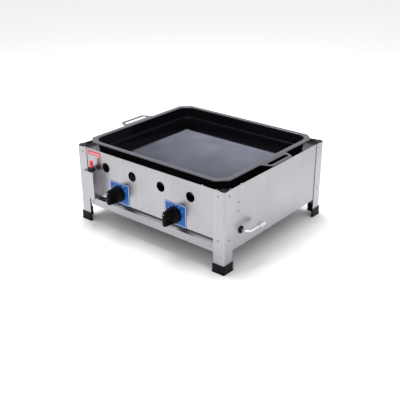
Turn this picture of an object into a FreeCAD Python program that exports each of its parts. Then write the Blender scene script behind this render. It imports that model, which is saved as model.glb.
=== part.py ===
import FreeCAD, Part
import math
import os

# Two-burner gas griddle: stainless box frame on four angle legs, lift-off enamelled pan.
# Millimetres. While the pieces are made, X = 0 and Y = 0 are the middle of the leg frame,
# the control panel faces -Y and the floor is Z = 0. save() then moves every piece so that
# the origin is under the middle of the whole outer box.

# ---- driving dimensions ---------------------------------------------------------------
frame_width = 620.0
frame_depth = 546.0
frame_height = 270.0
leg_flange = 41.0
leg_sheet = 2.0
leg_bend = 6.0
leg_plug_radius = 12.5
leg_plug_head = 2.0
panel_sheet = 1.5
front_panel_bottom = 110.0
side_panel_bottom = 66.0

cap_height = 29.0
cap_wall = 2.0
cap_sole = 3.0
cap_lip = 1.0
cap_bend = 4.0

rail_lip_height = 26.0
rail_slope_rise = 12.0
rail_slope_depth = 14.0
rail_flange_depth = 40.0
rail_end_gap = 1.5

pan_top = 287.0
pan_sheet = 2.0
pan_flange_half_x = 289.0
pan_flange_half_y = 254.0
pan_corner_cut = 31.0
pan_rim_width = 16.5
pan_rim_radius = 42.0
pan_ledge_depth = 37.0
pan_depth = 82.0
pan_upper_taper = 5.0
pan_ledge_width = 9.0
pan_lower_taper = 8.0
handle_reach = 36.0
handle_half_root = 70.0
handle_half_tip = 54.0
handle_bar = 10.0
handle_slot_half = 52.0
handle_slot_width = 18.0

knob_x = 120.5
knob_z = 146.0
knob_radius = 27.0
knob_depth = 50.0
knob_skirt = 13.0
knob_grip_width = 17.0
knob_shoulder = 7.0
knob_stand_off = 4.0
plate_width = 87.0
plate_height = 73.0
plate_sheet = 1.0
plate_corner = 2.0
spindle_radius = 5.0
spindle_hole_radius = 7.0
running_gap = 0.05
cut_margin = 1.0

label_width = 60.0
label_height = 15.0
label_sheet = 0.4
label_inset = 7.0
label_drop = 5.5

sight_hole_radius = 16.5
sight_hole_z = 220.0
burner_branch_offset = 59.5

burner_radius = 15.0
burner_wall = 1.5
burner_front_y = -90.0
burner_rear_y = 195.0
venturi_radius = 12.0
venturi_mouth_y = -150.0

manifold_y = -189.0
manifold_z = 121.0
manifold_radius = 9.0
inlet_pipe_radius = 4.0
inlet_bend = 18.0
inlet_reach = 27.0
inlet_end_y = -122.0

gusset_leg = 105.0
gusset_sheet = 1.5
hook_distances = (32.0, 84.0)
hook_width = 7.0

shield_z = 88.0
shield_sheet = 1.0
shield_front_y = -225.0
shield_rear_y = 255.0
shield_flange = 14.0

igniter_box_width = 46.0
igniter_box_depth = 35.0
igniter_box_bottom = 110.0
igniter_box_top = 205.0
igniter_box_bend = 2.0

# ---- places worked out from them --------------------------------------------------------
half_x = frame_width / 2
half_y = frame_depth / 2
panel_face_x = half_x - leg_sheet
panel_face_y = half_y - leg_sheet
inner_x = panel_face_x - panel_sheet
inner_y = panel_face_y - panel_sheet
plate_face_y = -(panel_face_y + plate_sheet)
knob_back_y = plate_face_y - knob_stand_off
knob_front_y = knob_back_y - knob_depth
panel_half_x = panel_face_x - (leg_bend - leg_sheet)
panel_half_y = panel_face_y - (leg_bend - leg_sheet)
rail_lip_top = side_panel_bottom + rail_lip_height
rail_top = rail_lip_top + rail_slope_rise
ledge_z = pan_top - pan_ledge_depth
gusset_top = ledge_z - pan_sheet
floor_z = pan_top - pan_depth
igniter_left = -(half_x - leg_flange) + 15.0
igniter_right = igniter_left + igniter_box_width
igniter_x = (igniter_left + igniter_right) / 2
igniter_y = -(panel_face_y + igniter_box_depth / 2)
inlet_line_x = half_x + inlet_reach
handle_tip_x = pan_flange_half_x + handle_reach

# ---- inner places ---------------------------------------------------------------------------
spindle_in_knob = 20.0
mark_radius = 1.6
mark_height = 0.5
mark_inset = 9.0
plug_radius = 8.0
plug_front_y = -inner_y + 23.5
plug_length = 34.0
spindle_end_y = plug_front_y + 27.5
collar_radius = 8.0
collar_width = 2.0
collar_y = -inner_y + 4.5
spring_chamber_radius = 8.5
saddle_half = 13.0
valve_rear_y = -inner_y + 63.5
valve_outlet_length = 30.0
spring_wire = 0.6
spring_radius = 6.7
spring_turns = 5

grommet_hole_radius = 9.5
hanger_sheet = 2.0
manifold_half = inner_x - hanger_sheet
hanger_rivet_y = manifold_y - 12.5
hanger_rivet_z = (187.0, 217.0)
hanger_top = 224.0
leg_rivet_inset = 24.0
leg_rivet_z = (109.0, 253.0)
rail_screw_inset = 15.0
rail_screw_radius = 2.6
rail_screw_z = 79.0
nut_across = 17.0
nut_length = 14.0
inlet_thread_radius = 6.5
inlet_thread_length = 12.0

igniter_body_radius = 9.0
igniter_body_low = 144.0
terminal_length = 8.0
terminal_radius = 2.5
igniter_bore = 7.5
igniter_bezel_height = 8.0
igniter_bezel_radius = 12.5
igniter_edge = 1.5
igniter_button_radius = 6.0
igniter_button_low = 190.0
igniter_button_stand = 24.0
igniter_spring_seat = 3.0
igniter_spring_radius = 5.5
igniter_spring_turns = 9

lead_radius = 1.6
lead_z = 107.0
lead_bend = 14.0
lead_turn_y = -225.0
electrode_x = -knob_x - 32.0
electrode_y = burner_front_y - burner_radius - 6.0
electrode_low = 136.0
electrode_radius = 4.0
electrode_length = 34.0
thermocouple_bend = 10.0
probe_y = burner_front_y - burner_radius - 6.0
rear_support_y = burner_rear_y - 25.0

# The whole outer box: pan handle on the left, inlet nut on the right, knobs in front,
# foot caps behind.
box_left = -handle_tip_x
box_right = inlet_line_x + nut_across / math.sqrt(3)
box_front = knob_front_y - mark_height
box_rear = half_y + cap_wall + cap_lip
origin_shift = FreeCAD.Vector(-(box_left + box_right) / 2, -(box_front + box_rear) / 2, 0)

X = FreeCAD.Vector(1, 0, 0)
Y = FreeCAD.Vector(0, 1, 0)
Z = FreeCAD.Vector(0, 0, 1)


# ---- helpers ------------------------------------------------------------------------------
def vec(x, y, z):
    return FreeCAD.Vector(x, y, z)


def block(low, high):
    """Axis-aligned box between two corners."""
    size = [high[i] - low[i] for i in range(3)]
    return Part.makeBox(size[0], size[1], size[2], vec(*low))


def rod(radius, start, axis, length):
    """Cylinder that starts at a point and runs along an axis."""
    return Part.makeCylinder(radius, length, vec(*start), axis)


def mirror_x(shape):
    return shape.mirror(vec(0, 0, 0), X)


def mirror_y(shape):
    return shape.mirror(vec(0, 0, 0), Y)


def vertical_edges_at(shape, x, y):
    """Straight vertical edges that stand at one place in plan."""
    found = []
    for edge in shape.Edges:
        ends = [v.Point for v in edge.Vertexes]
        if len(ends) == 2 and all(math.hypot(p.x - x, p.y - y) < 0.01 for p in ends):
            found.append(edge)
    return found


def rounded_rectangle(half_width, half_length, radius, z):
    """Closed wire of a rectangle with round corners, centred on the Z axis."""
    a, b, r = half_width, half_length, radius
    k = r * (1 - math.sqrt(0.5))
    corners = [(a, -b, 1, -1), (a, b, 1, 1), (-a, b, -1, 1), (-a, -b, -1, -1)]
    edges = []
    points = []
    for x, y, sx, sy in corners:
        along_x = vec(x - sx * r, y, z)
        along_y = vec(x, y - sy * r, z)
        middle = vec(x - sx * k, y - sy * k, z)
        first, last = (along_x, along_y) if sx * sy < 0 else (along_y, along_x)
        points.append((first, middle, last))
    for i, (first, middle, last) in enumerate(points):
        edges.append(Part.Arc(first, middle, last).toShape())
        edges.append(Part.LineSegment(last, points[(i + 1) % 4][0]).toShape())
    return Part.Wire(edges)


def frustum(low, high):
    """Solid between two rounded rectangles, each (half x, half y, radius, z)."""
    return Part.makeLoft([rounded_rectangle(*low), rounded_rectangle(*high)], True, True)


def bent_path(points, radius):
    """Straight runs between points, joined by tangent arcs of one radius."""
    nodes = [vec(*p) for p in points]
    edges = []
    start = nodes[0]
    for i in range(1, len(nodes) - 1):
        before = (nodes[i - 1] - nodes[i]).normalize()
        after = (nodes[i + 1] - nodes[i]).normalize()
        half_angle = before.getAngle(after) / 2
        reach = radius / math.tan(half_angle)
        inward = (before + after).normalize()
        arc_start = nodes[i] + before * reach
        arc_end = nodes[i] + after * reach
        centre = nodes[i] + inward * (radius / math.sin(half_angle))
        edges.append(Part.LineSegment(start, arc_start).toShape())
        edges.append(Part.Arc(arc_start, centre - inward * radius, arc_end).toShape())
        start = arc_end
    edges.append(Part.LineSegment(start, nodes[-1]).toShape())
    return Part.Wire(edges)


def bent_rod(points, bend_radius, radius):
    """Round rod or tube blank along a bent path."""
    path = bent_path(points, bend_radius)
    first = path.Edges[0]
    section = Part.Wire(Part.makeCircle(radius, first.valueAt(first.FirstParameter),
                                        first.tangentAt(first.FirstParameter)))
    return path.makePipeShell([section], True, False)


def hexagon(across_flats, start, axis, length):
    """Hexagonal prism for nuts."""
    radius = across_flats / math.sqrt(3)
    side = X if axis != X else Y
    ring = []
    for i in range(7):
        turn = FreeCAD.Rotation(axis, 60.0 * i)
        ring.append(vec(*start) + turn.multVec(side) * radius)
    return Part.Face(Part.makePolygon(ring)).extrude(axis * length)


def save(name, shape):
    """Write one sub-part, moved so that the origin is under the middle of the whole."""
    moved = shape.copy()
    moved.translate(origin_shift)
    moved.exportStep("parts/" + name + ".step")


# ---- frame ----------------------------------------------------------------------------------
def angle_leg():
    """Front right leg: an open angle with its outer corner at (+, -)."""
    low = (half_x - leg_flange, -half_y, cap_sole)
    high = (half_x, -half_y + leg_flange, frame_height)
    leg = block(low, high)
    leg = leg.cut(block((low[0], low[1] + leg_sheet, low[2]), (high[0] - leg_sheet, high[1], high[2])))
    leg = leg.makeFillet(leg_bend, vertical_edges_at(leg, half_x, -half_y))
    return leg.makeFillet(leg_bend - leg_sheet,
                          vertical_edges_at(leg, half_x - leg_sheet, -half_y + leg_sheet))


def foot_cap(leg):
    """Moulded boot that wraps the foot of the front right leg."""
    def boot(grow, low_z, high_z):
        outer = block((half_x - leg_flange - grow, -half_y - grow, low_z),
                      (half_x + grow, -half_y + leg_flange + grow, high_z))
        outer = outer.makeFillet(cap_bend, vertical_edges_at(outer, half_x + grow, -half_y - grow))
        arm = leg_sheet + cap_wall
        hollow = block((half_x - leg_flange - grow, -half_y + arm + grow - cap_wall, low_z),
                       (half_x - arm - grow + cap_wall, -half_y + leg_flange + grow, high_z))
        return outer.cut(hollow)
    lip_height = 4.0
    cap = boot(cap_wall, 0, cap_height).fuse(boot(cap_wall + cap_lip, 0, lip_height))
    return cap.cut(leg).removeSplitter()


def leg_plugs():
    """Round plastic buttons that close the bend at the top of each leg."""
    stem_radius = 8.0
    stem_length = 12.0
    x = half_x - leg_plug_radius
    y = -half_y + leg_plug_radius
    head = rod(leg_plug_radius, (x, y, frame_height), Z, leg_plug_head)
    plug = head.fuse(rod(stem_radius, (x, y, frame_height - stem_length), Z, stem_length))
    plugs = [plug, mirror_x(plug)]
    plugs += [mirror_y(p) for p in plugs]
    return Part.makeCompound(plugs)


def front_panel():
    panel = block((-panel_half_x, -panel_face_y, front_panel_bottom),
                  (panel_half_x, -inner_y, frame_height))
    for side in (-1, 1):
        for branch in (-1, 1):
            x = side * knob_x + branch * burner_branch_offset
            panel = panel.cut(rod(sight_hole_radius, (x, -half_y, sight_hole_z), Y, 2 * leg_sheet))
        panel = panel.cut(rod(spindle_hole_radius, (side * knob_x, -half_y, knob_z), Y, 2 * leg_sheet))
    return panel


def rear_panel():
    return block((-panel_half_x, inner_y, side_panel_bottom), (panel_half_x, panel_face_y, frame_height))


def right_panel():
    panel = block((inner_x, -panel_half_y, side_panel_bottom), (panel_face_x, panel_half_y, frame_height))
    return panel.cut(rod(grommet_hole_radius, (inner_x - cut_margin, manifold_y, manifold_z), X,
                         panel_sheet + 2 * cut_margin))


def left_panel():
    return block((-panel_face_x, -panel_half_y, side_panel_bottom), (-inner_x, panel_half_y, frame_height))


def front_rail():
    """Folded rail under the control panel: upright lip, slope, then a level flange behind."""
    lip_half = half_x - leg_flange - rail_end_gap
    tab_height = 20.0
    front_y = -panel_face_y
    fold_y = front_y + rail_slope_depth
    rear_y = front_y + rail_flange_depth
    slope = math.atan2(rail_slope_rise, rail_slope_depth)
    sheet = panel_sheet
    inside_low_z = rail_lip_top + sheet * math.tan(slope) - sheet / math.cos(slope)
    inside_fold_y = fold_y + sheet * (1 / math.cos(slope) - 1) / math.tan(slope)
    profile = [(front_y, side_panel_bottom), (front_y, rail_lip_top),
               (fold_y, rail_top), (rear_y, rail_top),
               (rear_y, rail_top - sheet), (inside_fold_y, rail_top - sheet),
               (front_y + sheet, inside_low_z), (front_y + sheet, side_panel_bottom)]
    ring = [vec(-lip_half, y, z) for y, z in profile + profile[:1]]
    rail = Part.Face(Part.makePolygon(ring)).extrude(X * (2 * lip_half))
    rail = rail.fuse(block((-inner_x, inside_fold_y, rail_top - sheet), (inner_x, rear_y, rail_top)))
    for side in (-1, 1):
        low_x = min(side * inner_x, side * (inner_x - sheet))
        rail = rail.fuse(block((low_x, inside_fold_y, rail_top),
                               (low_x + sheet, rear_y, rail_top + tab_height)))
    return rail.removeSplitter()


def heat_shield():
    """Sheet below the burners that keeps their heat off the table, with two rows of air slots."""
    slot_length = 52.0
    slot_width = 9.0
    slot_pitch = 22.0
    slots_per_row = 22
    row_starts_y = (-190.0, 150.0)
    shield = block((-inner_x, shield_front_y, shield_z), (inner_x, shield_rear_y, shield_z + shield_sheet))
    for side in (-1, 1):
        low_x = min(side * inner_x, side * (inner_x - shield_sheet))
        shield = shield.fuse(block((low_x, shield_front_y, shield_z),
                                   (low_x + shield_sheet, shield_rear_y, shield_z + shield_flange)))
    slots = []
    first_x = -slot_pitch * (slots_per_row - 1) / 2
    for row_y in row_starts_y:
        for i in range(slots_per_row):
            low_x = first_x + i * slot_pitch - slot_width / 2
            high = (low_x + slot_width, row_y + slot_length, shield_z + shield_sheet + cut_margin)
            slots.append(block((low_x, row_y, shield_z - cut_margin), high))
    return shield.cut(Part.makeCompound(slots)).removeSplitter()


def corner_gusset():
    """Front right corner plate that carries the pan, hooked over both panel edges."""
    corner = (inner_x, -inner_y)
    low = gusset_top - gusset_sheet
    ring = [vec(corner[0], corner[1], low), vec(corner[0], corner[1] + gusset_leg, low),
            vec(corner[0] - gusset_leg, corner[1], low), vec(corner[0], corner[1], low)]
    plate = Part.Face(Part.makePolygon(ring)).extrude(Z * gusset_sheet)
    tab_half = hook_width / 2
    hook_top = frame_height + gusset_sheet
    for distance in hook_distances:
        x = half_x - distance
        y = -half_y + distance
        plate = plate.fuse(block((x - tab_half, corner[1], low),
                                 (x + tab_half, corner[1] + gusset_sheet, hook_top)))
        plate = plate.fuse(block((x - tab_half, corner[1] - panel_sheet, frame_height),
                                 (x + tab_half, corner[1], hook_top)))
        plate = plate.fuse(block((corner[0] - gusset_sheet, y - tab_half, low),
                                 (corner[0], y + tab_half, hook_top)))
        plate = plate.fuse(block((corner[0], y - tab_half, frame_height),
                                 (corner[0] + panel_sheet, y + tab_half, hook_top)))
    return plate.removeSplitter()


def rivet(point, axis, head_radius=3.2, head_height=1.1):
    """Low domed blind-rivet head standing on a face."""
    dome = 0.7 * head_height
    head = rod(head_radius, point, axis, head_height)
    top = [e for e in head.Edges if abs((e.CenterOfMass - vec(*point)).dot(axis) - head_height) < 0.01]
    return head.makeFillet(dome, top[:1])


def frame_rivets():
    """Two rivets in each flange of each leg, and two through each manifold hanger."""
    heads = []
    for z in leg_rivet_z:
        heads.append(rivet((half_x - leg_rivet_inset, -half_y, z), -Y))
        heads.append(rivet((half_x, -half_y + leg_rivet_inset, z), X))
    heads += [mirror_y(h) for h in heads]
    heads += [rivet((panel_face_x, hanger_rivet_y, z), X) for z in hanger_rivet_z]
    heads += [mirror_x(h) for h in heads]
    return Part.makeCompound(heads)


def rail_screws():
    """Low screw heads on the lip of the front rail, one at each end."""
    x = half_x - leg_flange - rail_screw_inset
    heads = [rivet((side * x, -panel_face_y, rail_screw_z), -Y, rail_screw_radius) for side in (-1, 1)]
    return Part.makeCompound(heads)


# ---- pan ----------------------------------------------------------------------------------
def flange_outline():
    """Rim plate with cut corners and a handle loop at each end."""
    a, b, c = pan_flange_half_x, pan_flange_half_y, pan_corner_cut
    right = [(a - c, -b), (a, -b + c), (a, -handle_half_root), (handle_tip_x, -handle_half_tip),
             (handle_tip_x, handle_half_tip), (a, handle_half_root), (a, b - c), (a - c, b)]
    left = [(-x, -y) for x, y in right]
    low = pan_top - pan_sheet
    ring = [vec(x, y, low) for x, y in right + left + right[:1]]
    return Part.Face(Part.makePolygon(ring)).extrude(Z * pan_sheet)


def pan_hollow(grow, top, bottom):
    """The stepped inside of the pan, or its outside when grown by the sheet."""
    a = pan_flange_half_x - pan_rim_width
    b = pan_flange_half_y - pan_rim_width
    r = pan_rim_radius
    ledge = ledge_z - grow
    upper = pan_upper_taper
    lower = pan_upper_taper + pan_ledge_width
    base = lower + pan_lower_taper
    def ring(inset, z):
        return (a - inset + grow, b - inset + grow, r - inset + grow, z)
    wall = frustum(ring(upper, ledge), ring(0, top))
    return wall.fuse(frustum(ring(base, bottom), ring(lower, ledge)))


def pan():
    shell = flange_outline().fuse(pan_hollow(pan_sheet, pan_top, floor_z - pan_sheet))
    shell = shell.cut(pan_hollow(0, pan_top, floor_z))
    slot_r = handle_slot_width / 2
    slot_x = handle_tip_x - handle_bar - slot_r
    for side in (-1, 1):
        straight = handle_slot_half - slot_r
        slot = block((side * slot_x - slot_r, -straight, floor_z),
                     (side * slot_x + slot_r, straight, pan_top + cut_margin))
        for end in (-straight, straight):
            slot = slot.fuse(rod(slot_r, (side * slot_x, end, floor_z), Z, pan_depth + cut_margin))
        shell = shell.cut(slot)
    return shell.removeSplitter()


# ---- controls -----------------------------------------------------------------------------
def knob(x):
    """Round skirt with a dished shoulder and a tapered grip bar across it."""
    shoulder_inset = 3.0
    shoulder_taper = 6.0
    draft = 2.0
    end_draft = 3.0
    grip_root = 5.0
    skirt = rod(knob_radius, (x, knob_back_y, knob_z), -Y, knob_skirt)
    shoulder_radius = knob_radius - shoulder_inset
    shoulder = Part.makeCone(shoulder_radius, shoulder_radius - shoulder_taper, knob_shoulder,
                             vec(x, knob_back_y - knob_skirt, knob_z), -Y)
    half = knob_radius - 1.0
    base = knob_grip_width / 2 + draft
    tip = knob_grip_width / 2 - draft
    def bar(half_width, half_length, y):
        ring = [vec(x - half_width, y, knob_z - half_length), vec(x + half_width, y, knob_z - half_length),
                vec(x + half_width, y, knob_z + half_length), vec(x - half_width, y, knob_z + half_length),
                vec(x - half_width, y, knob_z - half_length)]
        return Part.makePolygon(ring)
    root = bar(base, half, knob_back_y - grip_root)
    grip = Part.makeLoft([root, bar(tip, half - end_draft, knob_front_y)], True, True)
    body = skirt.fuse(shoulder).fuse(grip)
    return body.cut(rod(spindle_radius, (x, knob_back_y, knob_z), -Y, spindle_in_knob))


def pointer_mark(x):
    """White dot let into the front end of the grip."""
    return rod(mark_radius, (x, knob_front_y, knob_z + knob_radius - mark_inset), -Y, mark_height)


def spindle(x):
    """Round valve stem with the collar that its spring pushes on."""
    stem = rod(spindle_radius, (x, knob_back_y - spindle_in_knob, knob_z), Y,
               spindle_end_y - (knob_back_y - spindle_in_knob))
    return stem.fuse(rod(collar_radius, (x, collar_y, knob_z), Y, collar_width))


def valve_plug(x):
    """Gas tap barrel: turns in the valve body, and the stem slides in it."""
    end_wall = 3.0
    bore_radius = spindle_radius + running_gap
    plug = rod(plug_radius, (x, plug_front_y, knob_z), Y, plug_length)
    return plug.cut(rod(bore_radius, (x, plug_front_y, knob_z), Y, plug_length - end_wall))


def valve_body(x):
    """Brass tap with a saddle clamped round the manifold and an outlet at the back."""
    neck_radius = 12.0
    body_radius = 14.0
    outlet_radius = 8.0
    end_gap = 0.5
    neck = rod(neck_radius, (x, -inner_y, knob_z), Y, plug_front_y + inner_y)
    body = rod(body_radius, (x, plug_front_y, knob_z), Y, valve_rear_y - plug_front_y)
    outlet = rod(outlet_radius, (x, valve_rear_y, knob_z), Y, valve_outlet_length)
    saddle = block((x - saddle_half, manifold_y - saddle_half, manifold_z - saddle_half),
                   (x + saddle_half, manifold_y + saddle_half, knob_z))
    valve = neck.fuse(body).fuse(outlet).fuse(saddle)
    valve = valve.cut(rod(manifold_radius, (x - saddle_half, manifold_y, manifold_z), X, 2 * saddle_half))
    stem_bore = spindle_radius + running_gap
    valve = valve.cut(rod(stem_bore, (x, -inner_y, knob_z), Y, plug_front_y + inner_y))
    chamber_y = collar_y - end_gap
    valve = valve.cut(rod(spring_chamber_radius, (x, chamber_y, knob_z), Y, plug_front_y - chamber_y))
    return valve.cut(rod(plug_radius + running_gap, (x, plug_front_y, knob_z), Y, plug_length + end_gap))


def coil_spring(radius, wire, start, axis_turn, length, turns):
    """Helical spring with its axis along Z, then turned and put in place."""
    pitch = length / turns
    helix = Part.makeHelix(pitch, length, radius)
    section = Part.Wire(Part.makeCircle(wire, vec(radius, 0, 0), Y))
    spring = helix.makePipeShell([section], True, False)
    spring.Placement = FreeCAD.Placement(vec(*start), axis_turn)
    return spring


def injector(x):
    """Brass jet screwed into the tap's outlet."""
    head_across = 11.0
    head_length = 5.0
    nose_length = 7.0
    nose_root_radius = 5.0
    nose_tip_radius = 2.5
    bore_radius = 0.8
    start_y = valve_rear_y + valve_outlet_length
    jet = hexagon(head_across, (x, start_y, knob_z), Y, head_length)
    jet = jet.fuse(Part.makeCone(nose_root_radius, nose_tip_radius, nose_length,
                                 vec(x, start_y + head_length, knob_z), Y))
    return jet.cut(rod(bore_radius, (x, start_y, knob_z), Y, head_length + nose_length))


def knob_plate(x):
    """Coloured scale plate behind a knob."""
    plate = block((x - plate_width / 2, plate_face_y, knob_z - plate_height / 2),
                  (x + plate_width / 2, -panel_face_y, knob_z + plate_height / 2))
    corners = [e for e in plate.Edges if abs(e.tangentAt(e.FirstParameter).y) > 0.9]
    plate = plate.makeFillet(plate_corner, corners)
    return plate.cut(rod(spindle_hole_radius, (x, plate_face_y, knob_z), Y, plate_sheet))


def stripe_label():
    low_x = -(half_x - leg_flange) + label_inset
    low_z = frame_height - label_drop - label_height
    return block((low_x, -panel_face_y - label_sheet, low_z),
                 (low_x + label_width, -panel_face_y, low_z + label_height))


# ---- igniter ------------------------------------------------------------------------------
def igniter_bracket():
    """Folded box, open at the back and below, that carries the piezo igniter."""
    front = -(panel_face_y + igniter_box_depth)
    low = (igniter_left, front, igniter_box_bottom)
    high = (igniter_right, -panel_face_y, igniter_box_top)
    bracket = block(low, high)
    front_edges = vertical_edges_at(bracket, igniter_left, front)
    front_edges += vertical_edges_at(bracket, igniter_right, front)
    bracket = bracket.makeFillet(igniter_box_bend, front_edges)
    bracket = bracket.cut(block((low[0] + panel_sheet, low[1] + panel_sheet, low[2]),
                                (high[0] - panel_sheet, high[1], high[2] - panel_sheet)))
    hole_low = igniter_box_top - panel_sheet - cut_margin
    return bracket.cut(rod(igniter_body_radius, (igniter_x, igniter_y, hole_low), Z,
                           panel_sheet + 2 * cut_margin))


def igniter_body():
    """Piezo barrel that hangs through the bracket's top, with a terminal below."""
    height = igniter_box_top - igniter_body_low
    seat_z = igniter_body_low + igniter_spring_seat
    barrel = rod(igniter_body_radius, (igniter_x, igniter_y, igniter_body_low), Z, height)
    barrel = barrel.cut(rod(igniter_bore, (igniter_x, igniter_y, seat_z), Z, height))
    terminal_low = igniter_body_low - terminal_length
    return barrel.fuse(rod(terminal_radius, (igniter_x, igniter_y, terminal_low), Z, terminal_length))


def igniter_bezel():
    """Threaded collar that clamps the igniter to the bracket."""
    bezel = rod(igniter_bezel_radius, (igniter_x, igniter_y, igniter_box_top), Z, igniter_bezel_height)
    rim = [e for e in bezel.Edges if abs(e.CenterOfMass.z - igniter_box_top - igniter_bezel_height) < 0.01]
    bezel = bezel.makeFillet(igniter_edge, rim[:1])
    bore_radius = igniter_button_radius + running_gap
    return bezel.cut(rod(bore_radius, (igniter_x, igniter_y, igniter_box_top), Z, igniter_bezel_height))


def igniter_button():
    top = igniter_box_top + igniter_bezel_height + igniter_button_stand
    button = rod(igniter_button_radius, (igniter_x, igniter_y, igniter_button_low), Z,
                 top - igniter_button_low)
    rim = [e for e in button.Edges if abs(e.CenterOfMass.z - top) < 0.01]
    return button.makeFillet(igniter_edge, rim[:1])


def ignition_lead():
    """Silicone lead from the piezo terminal, under the panel's edge, to the electrode."""
    run_in = 40.0
    points = [(igniter_x, igniter_y, igniter_body_low - terminal_length), (igniter_x, igniter_y, lead_z),
              (igniter_x, lead_turn_y, lead_z), (electrode_x, electrode_y - run_in, lead_z),
              (electrode_x, electrode_y, lead_z), (electrode_x, electrode_y, electrode_low)]
    return bent_rod(points, lead_bend, lead_radius)


def spark_electrode():
    """Ceramic rod with a steel tip beside the left burner."""
    tip_radius = 1.2
    tip_length = 14.0
    ceramic = rod(electrode_radius, (electrode_x, electrode_y, electrode_low), Z, electrode_length)
    tip = rod(tip_radius, (electrode_x, electrode_y, electrode_low + electrode_length), Z, tip_length)
    return ceramic.fuse(tip)


def electrode_clip():
    """Clip that holds the electrode on the burner's cross tube."""
    half_width = 7.0
    sheet = 2.0
    low_z = electrode_low + 12.0
    front_y = electrode_y - 6.0
    rear_y = burner_front_y - burner_radius + 1.5
    clip = block((electrode_x - half_width, front_y, low_z),
                 (electrode_x + half_width, rear_y, low_z + sheet))
    tube_start = (electrode_x - half_width - cut_margin, burner_front_y, knob_z)
    clip = clip.cut(rod(burner_radius, tube_start, X, 2 * (half_width + cut_margin)))
    return clip.cut(rod(electrode_radius, (electrode_x, electrode_y, electrode_low), Z, electrode_length))


# ---- gas train ----------------------------------------------------------------------------
def manifold():
    """Feed pipe across the front, capped on the left, necked down at the right."""
    wall = 2.0
    length = 2 * manifold_half
    pipe = rod(manifold_radius, (-manifold_half, manifold_y, manifold_z), X, length)
    return pipe.cut(rod(manifold_radius - wall, (-manifold_half + wall, manifold_y, manifold_z), X,
                        length - 2 * wall))


def manifold_hanger():
    """Strap inside the right panel that carries the manifold's end."""
    reach_front = 22.0
    reach_rear = 12.0
    reach_down = 18.0
    return block((manifold_half, manifold_y - reach_front, manifold_z - reach_down),
                 (inner_x, manifold_y + reach_rear, hanger_top))


def inlet_pipe():
    """Chromed gas pipe that leaves through the panel and turns back along it."""
    points = [(manifold_half, manifold_y, manifold_z), (inlet_line_x, manifold_y, manifold_z),
              (inlet_line_x, inlet_end_y, manifold_z)]
    return bent_rod(points, inlet_bend, inlet_pipe_radius)


def inlet_grommet():
    """Rubber ring in the panel's hole, with its flange outside."""
    flange_radius = 12.0
    flange_width = 2.5
    flange = rod(flange_radius, (panel_face_x, manifold_y, manifold_z), X, flange_width)
    ring = flange.fuse(rod(grommet_hole_radius, (inner_x, manifold_y, manifold_z), X, panel_sheet))
    return ring.cut(rod(inlet_pipe_radius, (inner_x, manifold_y, manifold_z), X, panel_sheet + flange_width))


def inlet_nut():
    """Union nut at the end of the gas pipe."""
    start = (inlet_line_x, inlet_end_y - nut_length, manifold_z)
    nut = hexagon(nut_across, start, Y, nut_length)
    return nut.cut(rod(inlet_pipe_radius, start, Y, nut_length))


def inlet_nipple():
    """Threaded left-hand connector for the hose, beyond the nut."""
    bore_radius = 2.5
    start = (inlet_line_x, inlet_end_y, manifold_z)
    nipple = rod(inlet_thread_radius, start, Y, inlet_thread_length)
    return nipple.cut(rod(bore_radius, start, Y, inlet_thread_length))


# ---- burners ------------------------------------------------------------------------------
def burner(x):
    """U-shaped tube burner: mixing tube, cross tube and two slotted branches."""
    def network(grow):
        parts = rod(burner_radius - grow, (x - burner_branch_offset, burner_front_y, knob_z), X,
                    2 * burner_branch_offset)
        parts = parts.fuse(rod(venturi_radius - grow, (x, venturi_mouth_y - grow, knob_z), Y,
                               burner_front_y - venturi_mouth_y + grow))
        for side in (-1, 1):
            branch_x = x + side * burner_branch_offset
            parts = parts.fuse(rod(burner_radius - grow, (branch_x, burner_front_y, knob_z), Y,
                                   burner_rear_y - burner_front_y - grow))
            parts = parts.fuse(Part.makeSphere(burner_radius - grow, vec(branch_x, burner_front_y, knob_z)))
        return parts
    body = network(0).cut(network(burner_wall))
    slots = []
    first_slot = 22.0
    slot_pitch = 14.0
    slot_count = 18
    slot_half = 7.0
    slot_width = 2.2
    slot_low = knob_z + 8.0
    slot_high = knob_z + burner_radius + cut_margin
    for side in (-1, 1):
        branch_x = x + side * burner_branch_offset
        for i in range(slot_count):
            y = burner_front_y + first_slot + i * slot_pitch
            slots.append(block((branch_x - slot_half, y, slot_low),
                               (branch_x + slot_half, y + slot_width, slot_high)))
    return body.cut(Part.makeCompound(slots))


def burner_support(y):
    """Angle across the frame that the burners rest on."""
    half_depth = 15.0
    height = 20.0
    sheet = 2.0
    top = knob_z - burner_radius
    bar = block((-inner_x, y - half_depth, top - sheet), (inner_x, y + half_depth, top))
    return bar.fuse(block((-inner_x, y + half_depth - sheet, top - height),
                          (inner_x, y + half_depth, top)))


def thermocouple(x):
    """Copper lead from the tap to the flame, with its probe beside the cross tube."""
    lead_half_thickness = 1.5
    probe_radius = 3.0
    probe_length = 16.0
    start_x = x + saddle_half
    side_x = start_x + 16.0
    run_y = manifold_y + 6.0
    low_z = knob_z - 8.0
    tip_z = knob_z + 26.0
    points = [(start_x, run_y, low_z), (side_x, run_y, low_z), (side_x, probe_y, low_z),
              (side_x, probe_y, tip_z)]
    lead = bent_rod(points, thermocouple_bend, lead_half_thickness)
    return lead.fuse(rod(probe_radius, (side_x, probe_y, tip_z), Z, probe_length))


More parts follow.
